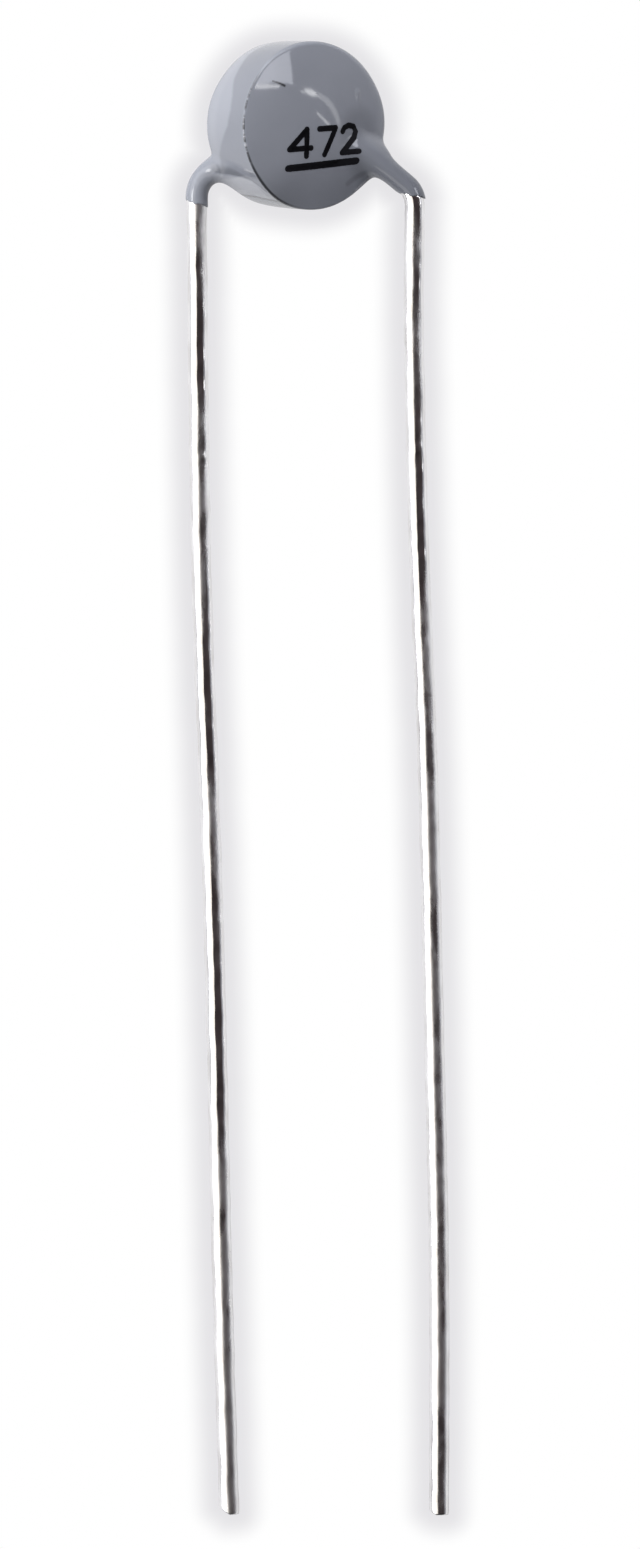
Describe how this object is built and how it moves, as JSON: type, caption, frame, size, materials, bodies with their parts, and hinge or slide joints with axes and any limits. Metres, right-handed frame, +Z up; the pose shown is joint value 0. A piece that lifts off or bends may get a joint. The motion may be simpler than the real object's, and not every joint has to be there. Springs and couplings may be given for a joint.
{
  "type": "thermistor",
  "caption": "Small disc thermistor: a lacquered ceramic disc held askew between formed wire leads, lying on its back.",
  "frame": {"origin": "centre of the footprint on the surface that the part lies on", "axes": "+Y runs along the leads from their cut tips to the disc, +X across the leads, +Z up"},
  "size_m": [0.0058, 0.0356, 0.0037],
  "materials": {
    "lacquer": "grey dipped lacquer, glossy",
    "oxide_ceramic": "sintered oxide, matt",
    "fired_silver": "fired silver paste, satin",
    "solder": "reflowed solder, bright",
    "tinned_wire": "bright tin plating on copper wire",
    "ink": "black marking ink"
  },
  "bodies": {
    "root": {"coating": "lacquer", "ceramic_disc": "oxide_ceramic", "front_electrode": "fired_silver", "rear_electrode": "fired_silver", "front_solder_joint": "solder", "rear_solder_joint": "solder", "left_lead": "tinned_wire", "right_lead": "tinned_wire"}
  },
  "joints": []
}
